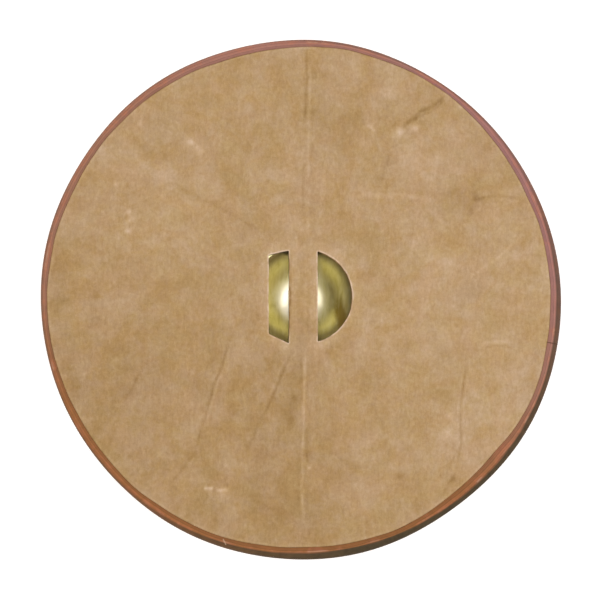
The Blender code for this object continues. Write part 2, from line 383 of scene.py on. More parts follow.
suede = {
    "cell": 2.2,
    "spare": 8,    # the sheet starts this much wider, before it is trimmed
    "nearOpenings": 95,    # the openings lie within this distance
    "easedRings": 3, "easingRounds": 8,    # cells beside the cut lines are evened out
    "sharpFrom": 50,
    "edgeRoll": 1.3, "rollDepth": 0.35,
    "waviness": 0.12, "waveScale": 60,
    "foldSway": 1.2, "swayScale": 26,
    "foldEnds": 8,    # folds fade over the first and last eighth
    "patchLevel": 1.15, "patchScale": 14, "patchLimits": (0.4, 1.9),
    "spotSway": (4, 3),
    "foldRoom": 0.3,    # how far a fold may stand above the binding
    "toneLimits": (-3.5, 1.8),
    # Noises: scale (three numbers stretch it), detail, roughness, distortion.
    "noises": {
        "drift": (20, 3, 0.55, 0.6), "flecks": (85, 3, 0.6, 0.5), "warm": (27, 3, 0.6, 0.8),
        "clouds": (9, 3, 0.55, 0.4), "blotches": (44, 3, 0.65, 0.6), "broken": (60, 2, 0.5),
        "strands": ((250, 75, 100), 3, 0.65, 0.8), "specks": (200, 2, 0.6, 0.3),
        "nap": (620, 2, 0.65),
    },
    # What each noise adds to the brightness, the paleness and the relief.
    "bright": {
        "clouds": 0.09, "drift": 0.05, "blotches": 0.16, "strands": 0.18, "specks": 0.15,
        "nap": 0.12, "tone": 0.2, "warm": -0.035,
    },
    "pale": {"drift": 1.0, "flecks": 0.7},
    "relief": {"nap": 0.35, "specks": 0.4, "strands": 0.3, "blotches": 0.4},
    "reliefHeight": 0.35,
    "level": 0.523,
    "toneToPale": 0.25,
    "paleStep": (-0.56, 0.56), "warmStep": (-0.35, 0.35), "brokenStep": (-0.35, 0.3),
    # Beside the cut lines: from and to which distance, value at the start and at the end.
    "openingPale": (0.8, 3.5, 0.6, 0.0),
    "openingFibres": (0.6, 2.8, 0.36, 0.0),
    "openingWear": (1.0, 22.0, 0.10, 0.0),
    "trimFibres": (1.5, 5.0, 0.12, 0.0),
    "trimShade": (0.3, 1.8, 0.22, 0.0),
    "ochre": [
        (0.0, (139, 106, 61)), (0.3, (165, 132, 86)), (0.5, (182, 149, 102)),
        (0.7, (198, 166, 120)), (1.0, (214, 187, 145)),
    ],
    "beige": [
        (0.0, (148, 115, 81)), (0.3, (172, 140, 105)), (0.5, (188, 156, 121)),
        (0.7, (204, 173, 141)), (1.0, (226, 200, 174)),
    ],
    "warmTint": (255, 249, 240),
    "sheenTint": (225, 200, 170),
    # Folds: half width, height (+ ridge, - groove), tone (+ painted highlight, - painted shade),
    # the points they run through.
    "folds": [
        (2.0, 0.5, 0.4, [(9, 352), (8.4, 300), (7.4, 250), (7.1, 200), (7.1, 155), (5.4, 125),
            (6, 84), (4, 64)]),
        (2.0, -0.5, -0.8, [(2, 369), (4.4, 340), (3.6, 317), (2.6, 285), (1.4, 255)]),
        (2.2, -0.35, -0.5, [(0.8, 200), (-1, 165), (-2, 125)]),
        (5.0, 0.0, -0.3, [(12, 235), (12.5, 175), (11, 100)]),
        (2.6, 0.3, 0.25, [(3, 68), (1.5, 20), (0.7, -40), (0.7, -71)]),
        (2.0, 0.6, 0.65, [(1.7, -66), (0.7, -119), (-0.3, -142), (-0.8, -189), (-2.3, -236),
            (-3, -282), (-1, -335)]),
        (3.0, -0.2, -0.3, [(-4.5, -190), (-6.5, -236), (-7.5, -282), (-5.5, -340)]),
        (1.8, 0.2, 0.35, [(1.3, -85), (0.7, -119), (-0.3, -142), (-0.6, -185)]),
        (2.0, -0.4, -0.5, [(-4.6, -85), (-4.6, -128)]),
        (2.6, -0.3, -0.5, [(4.6, -188), (4.4, -245)]),
        (6.0, -0.2, -0.6, [(-15, -140), (-17, -164), (-19, -192)]),
        (1.9, -0.6, -0.75, [(-108, -62), (-118, -100), (-128, -124), (-136, -151), (-144, -181),
            (-150, -198), (-156, -225)]),
        (1.8, 0.45, 0.4, [(-104, -62), (-113.5, -100), (-124, -124), (-132, -151), (-140, -181),
            (-146, -198)]),
        (1.8, 0.3, 0.35, [(-119, -72), (-124, -100), (-134, -130)]),
        (2.6, -0.3, -0.4, [(-155, -221), (-172, -247), (-193, -273)]),
        (2.0, -0.55, -0.75, [(-19, -84), (-27, -101), (-35, -123), (-47, -149), (-53, -162),
            (-58, -172)]),
        (2.4, -0.3, -0.35, [(-55, -166), (-69, -197), (-85, -228)]),
        (1.8, 0.35, 0.35, [(-31, -97), (-40, -121), (-52, -148)]),
        (2.4, -0.3, -0.45, [(-232, -101), (-246, -130), (-258, -152)]),
        (1.8, -0.6, -0.75, [(238, -100), (232.5, -132), (229.5, -161), (229.5, -197), (228.5, -218),
            (223, -243)]),
        (1.7, 0.4, 0.25, [(233, -110), (228, -135), (225, -161), (225, -197), (224, -215)]),
        (1.7, 0.35, 0.2, [(242, -110), (237, -135), (234, -161), (234, -197), (232, -215)]),
        (2.6, -0.5, -0.6, [(220, -256), (211, -272), (198, -293)]),
        (3.0, -0.7, -1.35, [(207, 298), (198.5, 288), (189, 281), (171, 275), (162, 265),
            (151, 256), (144, 250)]),
        (2.4, -0.4, -0.7, [(144, 263), (137, 258), (130, 250)]),
        (3.0, 0.6, 0.35, [(205, 290), (185, 274), (168, 262)]),
        (1.6, 0.3, 0.7, [(94, 255), (105, 244)]),
        (3.4, -0.3, -0.5, [(128, 215), (122, 195), (113, 168)]),
        (4.5, 0.3, 0.55, [(80, 151), (120, 149), (176, 146), (200, 142)]),
        (2.6, -0.4, -0.5, [(247, 143), (283, 151), (327, 148)]),
        (1.8, 0.25, 0.4, [(168, 135), (162, 91), (155, 46)]),
        (2.2, 0.3, 0.4, [(247, 31), (287, 59), (327, 97)]),
        (3.0, 0.3, 0.45, [(258, -70), (280, -64), (308, -68)]),
        (2.0, -0.3, -0.4, [(260, -76), (282, -70), (308, -74)]),
        (3.0, -0.2, -0.35, [(-203, 168), (-129, 133), (-57, 89)]),
        (16.0, 0.0, -0.4, [(-352, 110), (-358, 36), (-352, -60), (-325, -170)]),
        (5.0, -0.2, -0.8, [(249, 172), (254, 148), (244, 118)]),
        (2.2, 0.2, 1.6, [(-144, -278), (-130, -277.5)]),
        (2.6, 0.2, 1.4, [(-127, -281), (-108, -280)]),
        # Not a fold: a painted shadow line along the grip's left edge.
        (1.5, 0.0, -3.2, [(-21.4, -68), (-21.4, 66)]),
        (1.8, -0.3, -0.7, [(209, 293), (197, 281), (184, 273), (168, 266), (158, 257)]),
    ],
    # Spots: place, radius, tone.
    "spots": [
        (-120, -230, 190, -0.42), (-300, -60, 120, -0.25), (260, 0, 150, 0.28),
        (-20, -330, 120, -0.22), (-280, -150, 65, -0.25), (-5, -130, 42, -0.35),
        (-210, 110, 65, 0.3), (265, -190, 90, 0.15), (-220, 20, 70, -0.1), (-205, 190, 80, 0.1),
        (-207, 240, 32, -0.3), (-300, 135, 45, 0.15), (158, 213, 27, 0.35), (183, 201, 22, 0.3),
        (228, 150, 27, -0.45), (126, 205, 13, -0.4), (20, 265, 26, -0.35), (60, 225, 24, -0.3),
        (85, 267, 20, -0.3), (-150, -128, 17, -0.5), (-164, 229, 6, 1.6), (-151, 216, 6, 1.1),
        (-239, 255, 4, 1.4), (-274, 164, 4, 1.2), (-256, 124, 4, 1.6), (-254, 112, 3.5, 1.2),
        (-255, 96, 4, 1.7), (-205, 184, 11, 0.4), (-243, 189, 12, 0.35), (-271, -90, 5, 0.7),
        (142, 247, 4.5, 1.5), (164, 254, 5.5, 1.3), (133, 242, 6, 0.7), (126, 302, 7, 0.6),
        (97, 254, 6, 0.7), (140, -257, 4.5, -1.1), (212, -170, 4.5, 0.9), (212, -193, 5, 0.9),
        (217, -262, 5, -0.8), (-87, -242, 7, 0.6), (-115, -282, 8, 0.7), (-136, -278, 6, 0.5),
        (7, -244, 2.5, 1.3), (4, -227, 7, -0.5), (158, -181, 3, 0.9), (-204, 142, 14, 0.3),
        (-64, -301, 14, -0.3), (54, -243, 16, -0.3), (-27, -70.5, 5, 0.9), (-45, -61, 5, 0.6),
        (26, -67, 5, 0.9), (33, -62.5, 4, 0.6), (27, 67, 4, 0.8), (69, 22, 5, 0.6), (71, 6, 4, 0.7),
        (63, -32, 4, 0.6), (246, 56, 14, 0.25), (30, -205, 14, -0.3), (95, -120, 24, -0.3),
        (110, -60, 30, 0.15), (-308, 142, 42, -0.45), (250, 14, 26, -0.6), (250, 58, 20, -0.5),
        (204, -84, 20, -0.4), (340, -128, 20, -0.6), (-168, -268, 24, 0.35), (-169, -81, 20, 0.3),
        (17, 125, 30, -0.25), (297, 151, 20, 0.4), (12, -325, 45, -0.3), (-100, 245, 35, -0.25),
        (0, -44, 20, -0.45), (0, -92, 26, -0.4), (-352, -35, 26, 0.25), (-112, -221, 38, 0.3),
        (204, 245, 22, 0.3), (157, 105, 22, 0.25), (64, -174, 24, 0.25), (-50, -85, 24, -0.3),
        (157, -81, 22, -0.3), (204, -128, 20, -0.25), (-239, 169, 22, -0.25), (-297, -6, 25, -0.25),
        (-6, 154, 20, -0.2), (-210, -130, 30, -0.3),
    ],
}


def makeSuede():
    cell = suede["cell"]
    reach = trim["radius"] + suede["spare"]
    cells = round(2 * reach / cell)
    outlines = [slotOutline(), halfRoundOutline()]
    shape = bmesh.new()
    bmesh.ops.create_grid(shape, x_segments=cells, y_segments=cells, size=reach * mm)

    # Cells outside the trimmed line and inside the two openings are cut away.
    faces = list(shape.faces)
    middles = np.array([face.calc_center_median().to_tuple() for face in faces]) / mm
    x, y = middles[:, 0], middles[:, 1]
    gone = np.hypot(x, y) > trimRadius(np.arctan2(y, x))
    for outline in outlines:
        gone |= insideOutline(x, y, outline)
    cut = [faces[index] for index in np.flatnonzero(gone)]
    bmesh.ops.delete(shape, geom=cut, context="FACES")

    # Points on the cut edges are drawn onto the lines, then the cells next to them even out.
    border = [vert for vert in shape.verts if vert.is_boundary]
    for vert in border:
        x, y = vert.co.x / mm, vert.co.y / mm
        if math.hypot(x, y) > suede["nearOpenings"]:
            radius = trimRadius(math.atan2(y, x))
            vert.co.xy = Vector((x, y)).normalized() * radius * mm
        else:
            near = min(nearestOnOutline(x, y, outline) for outline in outlines)
            vert.co.xy = (near[1] * mm, near[2] * mm)
    beside = set()
    ring = set(border)
    for _ in range(suede["easedRings"]):
        ring = {edge.other_vert(vert) for vert in ring for edge in vert.link_edges} - set(border)
        beside |= ring
    for _ in range(suede["easingRounds"]):
        bmesh.ops.smooth_vert(
            shape, verts=list(beside), factor=0.5,
            use_axis_x=True, use_axis_y=True, use_axis_z=True,
        )

    # The cut edge goes down to the board, and one face closes the underside.
    for vert in shape.verts:
        vert.co.z = suedeHigh.z
    cutEdges = [edge for edge in shape.edges if edge.is_boundary]
    sides = bmesh.ops.extrude_edge_only(shape, edges=cutEdges)["geom"]
    for vert in only(sides, bmesh.types.BMVert):
        vert.co.z = suedeLow.z
    rims = [edge for edge in only(sides, bmesh.types.BMEdge) if edge.is_boundary]
    bmesh.ops.triangle_fill(shape, use_beauty=True, use_dissolve=False, edges=rims)
    bmesh.ops.recalc_face_normals(shape, faces=shape.faces)
    piece = objectFrom(shape, "suedeBackFacing", suede["sharpFrom"])
    sculptSuede(piece.data)
    piece.data.materials.append(suedeFinish())
    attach(piece, "root")
    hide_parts("suede_back_facing")


def sculptSuede(mesh):
    points = readPoints(mesh)
    x, y = points[:, 0] / mm, points[:, 1] / mm
    upper = points[:, 2] > (suedeLow.z + suedeHigh.z) / 2
    height = np.zeros(len(points))
    tone = np.zeros(len(points))
    wander = softNoise(points, suede["swayScale"], 1)
    patchy = suede["patchLevel"] + softNoise(points, suede["patchScale"], 2)
    swayX, swayY = x + suede["foldSway"] * wander, y + suede["foldSway"] * wander
    # Folds raise or sink the sheet, and their tone is painted highlight on ridges and painted shade
    # in grooves.
    for width, rise, shade, line in suede["folds"]:
        gap, along = distanceToLine(swayX, swayY, line)
        ends = np.clip(np.minimum(along, 1 - along) * suede["foldEnds"], 0, 1)
        profile = np.exp(-(gap / width) ** 2) * ends
        height += rise * profile
        tone += shade * profile * np.clip(patchy, *suede["patchLimits"])
    spotSwayX, spotSwayY = suede["spotSway"]
    for spotX, spotY, radius, shade in suede["spots"]:
        offX, offY = x - spotX + spotSwayX * wander, y - spotY + spotSwayY * patchy
        tone += shade * np.exp(-(np.hypot(offX, offY) / radius) ** 2)
    height += suede["waviness"] * softNoise(points, suede["waveScale"], 3)

    # Cut edges round over, and their fibres show paler.
    toTrim = trimRadius(np.arctan2(y, x)) - np.hypot(x, y)
    toOpening = np.full(len(points), float(suede["nearOpenings"]))
    close = np.flatnonzero(np.maximum(np.abs(x), np.abs(y)) < suede["nearOpenings"])
    for outline in (slotOutline(), halfRoundOutline()):
        line = outline.tolist() + outline[:1].tolist()
        gap = distanceToLine(x[close], y[close], line)[0]
        toOpening[close] = np.minimum(toOpening[close], gap)
    roll = np.clip(1 - np.minimum(toTrim, toOpening) / suede["edgeRoll"], 0, 1)
    height -= suede["rollDepth"] * roll ** 2
    highest = (bindingHigh.z - suedeHigh.z) / mm + suede["foldRoom"]
    points[:, 2] += np.where(upper, np.minimum(height, highest), 0) * mm
    writePoints(mesh, points)
    writeValue(mesh, "tone", np.clip(tone, *suede["toneLimits"]))
    writeValue(mesh, "toTrim", toTrim)
    writeValue(mesh, "toOpening", toOpening)


def suedeFinish():
    finish = Finish("suede")
    tone = finish.attribute("tone")
    toTrim = finish.attribute("toTrim")
    toOpening = finish.attribute("toOpening")
    noises = finish.noises(finish.place(), suede["noises"])
    pale = finish.weigh(noises, suede["pale"]).step(*suede["paleStep"])
    pale = pale + tone * suede["toneToPale"] + toOpening.step(*suede["openingPale"])
    warm = noises["warm"].step(*suede["warmStep"])
    broken = noises["broken"].step(*suede["brokenStep"])
    noises.update(tone=tone, warm=warm)
    level = finish.weigh(noises, suede["bright"]) + suede["level"]
    level = level + toTrim.step(*suede["trimFibres"]) * broken - toTrim.step(*suede["trimShade"])
    level = level + toOpening.step(*suede["openingFibres"]) * broken
    level = level + toOpening.step(*suede["openingWear"])
    ochre, beige = finish.ramp(level, suede["ochre"]), finish.ramp(level, suede["beige"])
    colour = finish.mix(pale, ochre, beige)
    colour = finish.mix(warm, colour, suede["warmTint"], "MULTIPLY")
    return finish.close({
        "Base Color": colour,
        "Roughness": 0.95,
        "Specular IOR Level": 0.15,
        "Sheen Weight": 0.25,
        "Sheen Roughness": 0.5,
        "Sheen Tint": paint(*suede["sheenTint"]),
        "Normal": finish.bump(finish.weigh(noises, suede["relief"]), suede["reliefHeight"]),
    })


# Leather binding

binding = {
    "steps": 720, "lipSteps": 8, "sideSteps": 24,
    "sharpFrom": 50,
    "rim": [(3, 0.65, -32), (4, 0.91, -34), (5, 0.24, -99), (7, 0.48, 173), (9, 0.46, 50)],
    "lip": 10.3,    # width of the strip seen from above
    "trimGap": 0.12,    # between its inner edge and the suede's trimmed line
    "gap": 0.3,    # between the strip and the board
    "lipEdge": [(0, -0.35), (0.25, -0.08)],
    "frontEdge": [(5, 0), (0.2, 0.1), (0, 0.4)],
    "insideBend": (3.3, 1.0),
    "lipBulge": 0.3, "bulgeShare": 0.75,
    "skinDepth": 1.0,
    "sideDepth": 6.0, "sideRoundness": 0.8,
    "easing": 4,    # the back's uneven inner edge and the dark fade over this depth
    "turnRadius": 380,
    "drift": 45,
    "ripples": 2.6, "rippleDrift": 0.35, "rippleHeight": 0.14,
    "pucker": 0.12, "puckerScale": 7,
    # Where painted shade darkens the outer side, most on the lower right and least on the upper
    # left: direction, radius it starts at, strength.
    "dark": [
        (0, 371.9, 0.72), (30, 373.4, 0.5), (60, 375.6, 0.45), (90, 377.5, 0.4),
        (120, 377.8, 0.4), (150, 376.8, 0.4), (180, 377.4, 0.45), (210, 377.2, 0.55),
        (240, 375.4, 0.7), (269, 369.9, 0.95), (284, 369.4, 1.0), (299, 369.3, 1.0),
        (314, 370.8, 1.0), (329, 373.0, 0.95), (344, 372.9, 0.82), (360, 371.9, 0.72),
    ],
    "darkBelow": 1.5, "darkDrift": 0.5, "darkBlur": 1.6,
    # A line of painted highlight, partly wear, along the side's corner:
    "wearAndHighlightLine": (1.4, 0.7),    # how far before the dark, half width
    "noises": {
        "grain": (420, 3, 0.6), "mottle": (70, 3, 0.6, 0.5), "broad": (12, 2, 0.5),
        "wander": (25, 2, 0.5),
    },
    "streaks": [(19, 1.6), (41, 2.6)],    # lengthwise lines: how many, how far they wander
    "bright": {"streaks": 0.13, "mottle": 0.14, "grain": 0.07},
    "relief": {"grain": 0.3, "mottle": 0.4, "streaks": 0.5, "joint": -2.0, "nick": -1.0},
    "reliefHeight": 0.25,
    "left": (157, 108, 84), "right": (164, 113, 98), "farRight": (163, 113, 106),
    "bottom": (146, 92, 46), "fresh": (172, 100, 70),
    # Where those colours begin and are full, in metres.
    "rightStep": (0.0, 0.33), "farRightStep": (0.25, 0.38), "bottomStep": (0.02, 0.26),
    # Across the strip: from and to which share, value at the start and at the end.
    "freshAcross": (0.1, 0.5, -0.2, 0.2), "innerShade": (0.0, 0.35, -0.14, 0.02),
    "freshStep": (-0.1, 0.5), "freshShare": 0.45,
    "shade": [(0.0, (90, 90, 90)), (0.5, (188, 188, 188)), (1.0, (252, 246, 238))],
    # Colours of the painted shade on the outer side.
    "side": [(0.0, (44, 33, 15)), (1.0, (92, 74, 46))],
    # Colour of the painted highlight and wear along the side's corner.
    "wearAndHighlight": (198, 164, 136), "wearAndHighlightStep": (0.05, 0.5), "wearAndHighlightShare": 0.6,
    "joint": -10.4, "jointLine": (0.3, 1.2), "jointTint": (92, 60, 44), "jointShare": 0.7,
    "nick": [(-116.4, -349.7), (-112.0, -358.4)], "nickLine": (0.3, 1.0),
    "nickTint": (206, 172, 140), "nickShare": 0.6,
    "nickHeight": (68, 70),    # it shows on the back lip alone
}


def bindingProfile():
    # Section of the strip: over the back lip, round the side, under the front lip, back inside.
    top, bottom = bindingHigh.z / mm, bindingLow.z / mm
    middle, half = (top + bottom) / 2, (top - bottom) / 2
    inner = bindingRadius - binding["lip"]
    start = bindingRadius - binding["sideDepth"]
    profile = [(inner + out, top + rise) for out, rise in binding["lipEdge"]]
    steps = binding["lipSteps"]
    profile += [(inner + (start - inner) * step / steps, top) for step in range(1, steps)]
    for step in range(binding["sideSteps"] + 1):
        angle = math.pi / 2 - math.pi * step / binding["sideSteps"]
        out, rise = (
            math.copysign(abs(part) ** binding["sideRoundness"], part)
            for part in (math.cos(angle), math.sin(angle))
        )
        profile.append((start + binding["sideDepth"] * out, middle + half * rise))
    profile += [(inner + out, bottom + rise) for out, rise in binding["frontEdge"]]
    boardTop, boardBottom = boardHigh.z / mm + binding["gap"], boardLow.z / mm - binding["gap"]
    inside = boardRadius + binding["gap"]
    bend, middleBend = binding["insideBend"]
    profile += [
        (inner, boardBottom), (inside - bend, boardBottom),
        (inside - middleBend, boardBottom + middleBend), (inside, boardBottom + bend),
        (inside, boardTop - bend), (inside - middleBend, boardTop - middleBend),
        (inside - bend, boardTop), (inner, boardTop),
    ]
    return profile


def makeBinding():
    shape = turnProfile(bindingProfile(), binding["steps"], True)
    piece = objectFrom(shape, "leatherEdgeBinding", binding["sharpFrom"])
    points = readPoints(piece.data)
    x, y, z = points.T / mm
    angle, radius = np.arctan2(y, x), np.hypot(x, y)
    inner, outer = bindingRadius - binding["lip"], bindingRadius
    share = (radius - inner) / (outer - inner)
    outerNow = outer + waves(angle, binding["rim"])
    middle = (bindingHigh.z + bindingLow.z) / 2 / mm
    upperHalf = np.clip((z - middle) / binding["easing"], 0, 1)
    innerNow = inner + (trimRadius(angle) + binding["trimGap"] - inner) * upperHalf
    newRadius = innerNow + share * (outerNow - innerNow)

    # The strip swells a little between its edges, with fine lengthwise folds.
    bulgeShare = binding["bulgeShare"]
    onSkin = (z > bindingHigh.z / mm - binding["skinDepth"]) & (share < bulgeShare)
    around = np.stack([np.cos(angle), np.sin(angle), radius * 0], 1) * binding["turnRadius"] * mm
    drift = softNoise(around, binding["drift"], 4)
    ripple = np.sin((share * binding["ripples"] + binding["rippleDrift"] * drift) * math.tau)
    swell = binding["lipBulge"] * np.sin(np.clip(share, 0, bulgeShare) / bulgeShare * math.pi)
    pucker = softNoise(around, binding["puckerScale"], 5) * np.clip(1 - share, 0, 1)
    rise = swell + binding["rippleHeight"] * ripple + binding["pucker"] * pucker
    z = z + np.where(onSkin, rise, 0)
    points = np.stack([np.cos(angle) * newRadius, np.sin(angle) * newRadius, z], 1) * mm
    writePoints(piece.data, points)

    # Where painted shade darkens the side, and the line beside it of painted highlight that is
    # partly wear.
    turn, start, strength = np.array(binding["dark"]).T
    heading = np.degrees(angle) % 360
    below = np.clip(middle + binding["easing"] - z, 0, binding["easing"])
    past = newRadius + binding["darkBelow"] * below + binding["darkDrift"] * drift
    past -= np.interp(heading, turn, start)
    shadeFade = np.clip(past / binding["darkBlur"] + 0.5, 0, 1)
    dark = shadeFade ** 2 * (3 - 2 * shadeFade) * np.interp(heading, turn, strength)
    before, width = binding["wearAndHighlightLine"]
    writeValue(piece.data, "dark", dark)
    writeValue(piece.data, "corner", np.exp(-((past + before) / width) ** 2) * (z > middle))
    writeValue(piece.data, "across", share)
    piece.data.materials.append(bindingFinish())
    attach(piece, "root")
    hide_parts("leather_edge_binding")


def bindingFinish():
    finish = Finish("bindingLeather")
    place = finish.place()
    across = finish.attribute("across")
    x, y, z = finish.axes(place)
    noises = finish.noises(place, binding["noises"])
    mottle, broad, wander = noises["mottle"], noises["broad"], noises["wander"]
    fine, coarse = (
        (across * count + wander * sway).math("SINE") for count, sway in binding["streaks"]
    )
    noises["streaks"] = fine * 0.5 + coarse * 0.5

    # Pinker on the right and upper right, browner on the left, most orange along the bottom.
    right = (x * 0.8 + y + broad * 0.05).step(*binding["rightStep"])
    farRight = (x * 0.87 + y * 0.5).step(*binding["farRightStep"])
    low = (y * -1.0 - x * 0.25 + broad * 0.05).step(*binding["bottomStep"])
    fresh = wander + mottle * 0.8 + across.step(*binding["freshAcross"])
    fresh = fresh.step(*binding["freshStep"]) * binding["freshShare"]
    colour = finish.mix(right, binding["left"], binding["right"])
    colour = finish.mix(farRight, colour, binding["farRight"])
    colour = finish.mix(low, colour, binding["bottom"])
    colour = finish.mix(fresh, colour, binding["fresh"])
    level = finish.weigh(noises, binding["bright"]) + across.step(*binding["innerShade"]) + 0.5
    colour = finish.mix(1.0, colour, finish.ramp(level, binding["shade"]), "OVERLAY")

    # Painted shade on the outer side, a line of painted highlight and wear along its corner, the
    # strip's butt joint and one nick.
    side = finish.ramp(mottle * 0.5 + 0.5, binding["side"])
    colour = finish.mix(finish.attribute("dark"), colour, side)
    wearAndHighlight = finish.attribute("corner") * (wander + mottle * 0.6).step(*binding["wearAndHighlightStep"])
    colour = finish.mix(wearAndHighlight * binding["wearAndHighlightShare"], colour, binding["wearAndHighlight"])
    angle = y.math("ARCTAN2", x) - math.radians(binding["joint"])
    joint = angle.math("ABSOLUTE") * binding["turnRadius"]
    joint = joint.step(*binding["jointLine"], 1.0, 0.0)
    colour = finish.mix(joint * binding["jointShare"], colour, binding["jointTint"])
    (startX, startY), (endX, endY) = binding["nick"]
    long = math.hypot(endX - startX, endY - startY)
    alongX, alongY = (endX - startX) / long, (endY - startY) / long
    offX, offY = x / mm - startX, y / mm - startY
    beside = (offX * alongY - offY * alongX).math("ABSOLUTE")
    within = ((offX * alongX + offY * alongY) / long - 0.5).math("ABSOLUTE")
    nick = beside.step(*binding["nickLine"], 1.0, 0.0) * within.step(0.4, 0.55, 1.0, 0.0)
    nick = nick * (z / mm).step(*binding["nickHeight"])
    colour = finish.mix(nick * binding["nickShare"], colour, binding["nickTint"])
    noises.update(joint=joint, nick=nick)
    return finish.close({
        "Base Color": colour,
        "Roughness": mottle * 0.08 + 0.6,
        "Specular IOR Level": 0.2,
        "Normal": finish.bump(finish.weigh(noises, binding["relief"]), binding["reliefHeight"]),
    })


# Brass boss

boss = {
    "steps": 256, "arcSteps": 34, "bendSteps": 6, "rimSteps": 8,
    "sheet": 1.5,
    "innerRadius": 75.0,
    "flat": 12.0, "onFlat": (8, 4, 0),
    "fillet": 3.0,
    "onFlange": (18, 9),    # points across the flange, from the dome's foot
    "ballMiddle": 77.6,    # height of the middle that the dome curves about
    "hollowWithin": 77.9,    # from that middle, the hollow side is nearer than this
    "dents": [(34, 6, 0.175), (15, 7, 0.06)],    # scale, seed, depth
    "dented": (14, 8, 78, 4),    # dents begin, fade in, end, fade out
    "nails": 8,
    "headRadius": 4.5, "headHeight": 2.2,
    "nailSteps": 32, "capSteps": 9,
    "shank": [(0, 0), (0.7, -1.5), (1.45, -3)], "shankRadius": 1.5,    # from its point
    "seatGap": 0.05, "seatInset": 0.2,
    "noises": {
        "cloudy": (22, 3, 0.6, 0.8), "smears": ((120, 24, 40), 3, 0.6, 1.2),
        "specks": (300, 2, 0.6),
    },
    "bright": {"cloudy": 0.45, "smears": 0.55},
    "gloss": {"smears": 0.06, "cloudy": 0.04},
    "relief": {"smears": 0.5, "specks": 0.2},
    "reliefHeight": 0.06,
    "brass": [(0.0, (196, 184, 108)), (0.5, (230, 220, 156)), (1.0, (246, 240, 196))],
    "wearAndHighlight": (250, 241, 215),
    # Colours of the painted shade along the dome's foot.
    "footShadeLow": (92, 74, 48), "footShadeHigh": (150, 126, 100),
    # Darker patches: middle and half widths. The corner patch is painted shade beside the grip's
    # upper end; the other is a brown-olive patch.
    "corner": (0, 70, 36, 9), "cornerTint": (36, 27, 16), "cornerShare": 0.9,
    "brownPatch": (58, -20, 9, 25), "brownPatchTint": (140, 114, 42), "brownPatchShare": 0.85,
    # By place or by distance: from, to, value at the start and at the end.
    "wearAndHighlightWithin": (24, 42, 1.0, 0.0),
    "lowerEnd": (-56, -18, 15.0, 0.0),
    "footHeight": (30, 54), "footRadius": (78, 83, 1.0, 0.0), "footSide": (-50, 90, 0.6, 0.85),
    "footShadeHeight": (46, 58),
    "cornerEdge": (0.7, 1.15, 1.0, 0.0), "brownPatchEdge": (0.4, 1.3, 1.0, 0.0),
}


def bossProfile():
    # Outer line of the sheet from the flange's rim to the middle, then back along the inner side.
    sheet, fillet, flat = boss["sheet"], boss["fillet"], boss["flat"]
    foot = boss["innerRadius"] + sheet
    tall = bossHigh.z / mm - sheet
    depth = (foot ** 2 - flat ** 2 + tall ** 2) / (2 * tall)
    ball = math.hypot(depth, flat)
    bendHeight = tall - fillet
    bendX = math.sqrt((ball + fillet) ** 2 - (depth - bendHeight) ** 2)
    footAngle = math.degrees(math.atan2(bendHeight - depth, bendX))
    flatAngle = math.degrees(math.atan2(-depth, flat))
    bendSteps, arcSteps = boss["bendSteps"], boss["arcSteps"]
    edge = sheet / 2
    profile = arcPoints(flangeRadius - edge, tall + edge, edge, 90, -90, boss["rimSteps"])
    profile += [(foot + out, tall) for out in boss["onFlange"]]
    profile += arcPoints(bendX, bendHeight, fillet, 90, footAngle + 180, bendSteps)
    profile += arcPoints(0, depth, ball, footAngle, flatAngle, arcSteps)[1:]
    profile += [(out, 0) for out in boss["onFlat"]]
    profile += [(out, sheet) for out in reversed(boss["onFlat"])]
    profile += arcPoints(0, depth, ball - sheet, flatAngle, footAngle, arcSteps)
    profile += arcPoints(bendX, bendHeight, fillet + sheet, footAngle + 180, 90, bendSteps)[1:]
    profile += [(foot + out, tall + sheet) for out in reversed(boss["onFlange"])]
    return profile


def makeBoss():
    shape = turnProfile(bossProfile(), boss["steps"], False)
    piece = objectFrom(shape, "brassBoss")
    points = readPoints(piece.data)
    dents = sum(depth * softNoise(points, scale, seed) for scale, seed, depth in boss["dents"])
    radius = np.hypot(points[:, 0], points[:, 1]) / mm
    begin, fadeIn, end, fadeOut = boss["dented"]
    dents *= np.clip((radius - begin) / fadeIn, 0, 1) * np.clip((end - radius) / fadeOut, 0, 1)
    centre = np.array([0, 0, boss["ballMiddle"] * mm])
    ray = points - centre
    ray /= np.linalg.norm(ray, axis=1)[:, None]
    points -= ray * dents[:, None] * mm
    writePoints(piece.data, points)
    hollow = np.linalg.norm(points - centre, axis=1) < boss["hollowWithin"] * mm
    writeValue(piece.data, "inner", hollow.astype(float))
    piece.data.materials.append(brassFinish("bossBrass"))
    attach(piece, "root")
    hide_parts("brass_boss")


def makeNails():
    metal = brassFinish("nailBrass")
    wide, tall = boss["headRadius"], boss["headHeight"]
    cap = (wide ** 2 + tall ** 2) / (2 * tall)
    for index in range(boss["nails"]):
        name = "boss_nail_%d" % (index + 1)
        low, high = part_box(name)
        seat = low.z / mm + tall
        centre = seat + cap - tall
        rimAngle = math.degrees(math.atan2(seat - centre, wide))
        profile = [(out, high.z / mm + rise) for out, rise in boss["shank"]]
        profile.append((boss["shankRadius"], seat + boss["seatGap"]))
        profile.append((wide - boss["seatInset"], seat))
        profile += arcPoints(0, centre, cap, rimAngle, -90, boss["capSteps"])
        shape = turnProfile(profile, boss["nailSteps"], False)
        place = (low + high) / 2
        bmesh.ops.translate(shape, verts=shape.verts, vec=(place.x, place.y, 0))
        nail = objectFrom(shape, "bossNail%d" % (index + 1))
        nail.data.materials.append(metal)
        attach(nail, "root")
        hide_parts(name)


